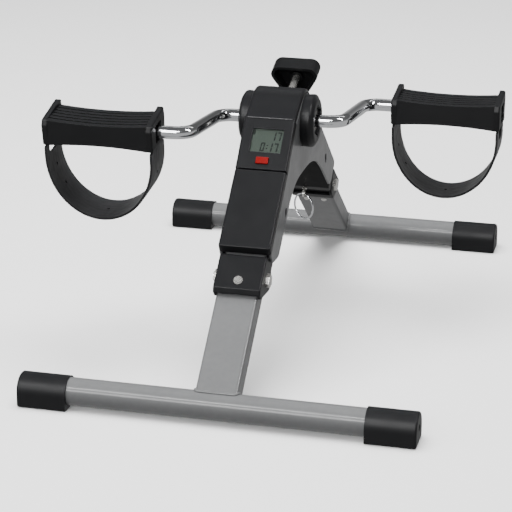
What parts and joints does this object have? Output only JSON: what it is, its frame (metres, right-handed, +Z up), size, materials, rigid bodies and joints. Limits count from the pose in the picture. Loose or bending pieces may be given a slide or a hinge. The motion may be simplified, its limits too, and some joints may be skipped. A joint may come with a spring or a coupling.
{
  "type": "pedal exerciser",
  "caption": "Folding under-desk pedal exerciser: bent crank with strapped pedals on a splayed two-leg frame, meter head, tension knob and capped foot tubes.",
  "frame": {"origin": "on the floor, midway between the two feet and midway between the cap ends", "axes": "+X along the crank axis to the user's right, +Y from the user's side towards the far foot, +Z up"},
  "size_m": [0.3958, 0.5184, 0.2454],
  "materials": {
    "painted_steel": "satin grey powder coat",
    "cover_plastic": "satin moulded black",
    "hinge_plastic": "satin moulded black nylon",
    "cap_plastic": "semi-soft black with a faint sheen",
    "pedal_plastic": "satin moulded black, ribbed tread",
    "strap_rubber": "smooth soft plastic",
    "knob_plastic": "satin black",
    "crank_chrome": "bright chrome plate",
    "hardware_steel": "zinc plated",
    "ring_chrome": "bright wire",
    "brake_felt": "dense felt",
    "carrier_plastic": "natural nylon",
    "magnet_iron": "sintered ferrite",
    "sensor_plastic": "potted black",
    "display_window": "clear window",
    "lcd_face": "grey-green liquid crystal",
    "board_laminate": "green solder mask",
    "cell_steel": "stainless can",
    "button_red": "moulded red"
  },
  "bodies": {
    "head": {"right_side_plate": "painted_steel", "left_side_plate": "painted_steel", "front_limb_tube": "painted_steel", "rear_limb_tube": "painted_steel", "front_web": "painted_steel", "rear_web": "painted_steel", "head_cover": "cover_plastic", "hood_screws": "hardware_steel", "inner_cover": "cover_plastic", "right_end_cover": "cover_plastic", "left_end_cover": "cover_plastic", "front_cover": "cover_plastic", "display_housing": "cover_plastic", "display_lens": "display_window", "lcd_panel": "lcd_face", "display_board": "board_laminate", "button_cell": "cell_steel", "speed_sensor": "sensor_plastic", "right_bush": "hardware_steel", "left_bush": "hardware_steel", "tension_bracket": "hardware_steel", "front_hinge_block": "hinge_plastic", "front_pivot_bolt": "hardware_steel", "front_pivot_nut": "hardware_steel", "rear_hinge_knuckle": "hinge_plastic"},
    "reset_button": {"reset_button": "button_red"},
    "tension_control": {"tension_screw": "hardware_steel", "screw_clips": "hardware_steel", "tension_knob": "knob_plastic"},
    "brake_shoe": {"brake_carrier": "carrier_plastic", "brake_pad": "brake_felt"},
    "crank": {"crank_rod": "crank_chrome", "crank_drum": "hardware_steel", "crank_magnet": "magnet_iron", "left_pedal_washer": "hardware_steel", "left_pedal_clip": "hardware_steel", "right_pedal_washer": "hardware_steel", "right_pedal_clip": "hardware_steel"},
    "left_pedal": {"left_pedal": "pedal_plastic", "left_strap": "strap_rubber"},
    "right_pedal": {"right_pedal": "pedal_plastic", "right_strap": "strap_rubber"},
    "front_leg": {"front_leg_tube": "painted_steel", "front_pivot_sleeve": "hardware_steel", "front_lock_spring": "hardware_steel", "front_foot_tube": "painted_steel", "front_left_cap": "cap_plastic", "front_right_cap": "cap_plastic"},
    "front_lock_button": {"front_lock_button": "hardware_steel"},
    "rear_leg": {"rear_leg_tube": "painted_steel", "rear_leg_rivets": "hardware_steel", "rear_hinge_block": "hinge_plastic", "rear_pivot_bolt": "hardware_steel", "rear_pivot_nut": "hardware_steel", "rear_foot_tube": "painted_steel", "rear_left_cap": "cap_plastic", "rear_right_cap": "cap_plastic"},
    "rear_lock_pin": {"rear_lock_pin": "hardware_steel"},
    "pull_ring": {"pull_ring": "ring_chrome"}
  },
  "joints": [
    {"name": "front_leg_fold", "type": "hinge", "parent": "head", "child": "front_leg", "pos_m": [0, -0.14743, 0.09668], "axis": [1, 0, 0], "range_deg": [0, 95]},
    {"name": "rear_leg_fold", "type": "hinge", "parent": "head", "child": "rear_leg", "pos_m": [0, 0.14314, 0.09301], "axis": [1, 0, 0], "range_deg": [-70, 0]},
    {"name": "front_lock_press", "type": "slide", "parent": "head", "child": "front_lock_button", "axis": [0, 0.6494, -0.7604], "range_m": [0, 0.004], "stiffness_N_per_m": 500},
    {"name": "rear_lock_pull", "type": "slide", "parent": "head", "child": "rear_lock_pin", "axis": [0, -0.6157, -0.788], "range_m": [0, 0.005], "stiffness_N_per_m": 600},
    {"name": "pull_ring_swing", "type": "hinge", "parent": "rear_lock_pin", "child": "pull_ring", "pos_m": [-0.004, 0.11653, 0.08981], "axis": [1, 0, 0], "range_deg": [-60, 45]},
    {"name": "crank_turn", "type": "hinge", "parent": "head", "child": "crank", "pos_m": [0, -0.006, 0.205], "axis": [1, 0, 0], "continuous": true},
    {"name": "left_pedal_turn", "type": "hinge", "parent": "crank", "child": "left_pedal", "pos_m": [-0.1454, -0.09478, 0.21121], "axis": [1, 0, 0], "continuous": true},
    {"name": "right_pedal_turn", "type": "hinge", "parent": "crank", "child": "right_pedal", "pos_m": [0.1454, 0.08278, 0.19879], "axis": [1, 0, 0], "continuous": true},
    {"name": "tension_turn", "type": "hinge", "parent": "head", "child": "tension_control", "pos_m": [0, -0.006, 0.205], "axis": [0, -0.95, -0.3123], "range_deg": [0, 240]},
    {"name": "brake_slide", "type": "slide", "parent": "head", "child": "brake_shoe", "axis": [0, -0.95, -0.3123], "range_m": [0, 0.00101]},
    {"name": "reset_press", "type": "slide", "parent": "head", "child": "reset_button", "axis": [0, 0.729, -0.6845], "range_m": [0, 0.0012], "stiffness_N_per_m": 300}
  ],
  "couplings": [
    {"joint": "brake_slide", "follows": "tension_turn", "m_per_rad": 0.00023873}
  ]
}
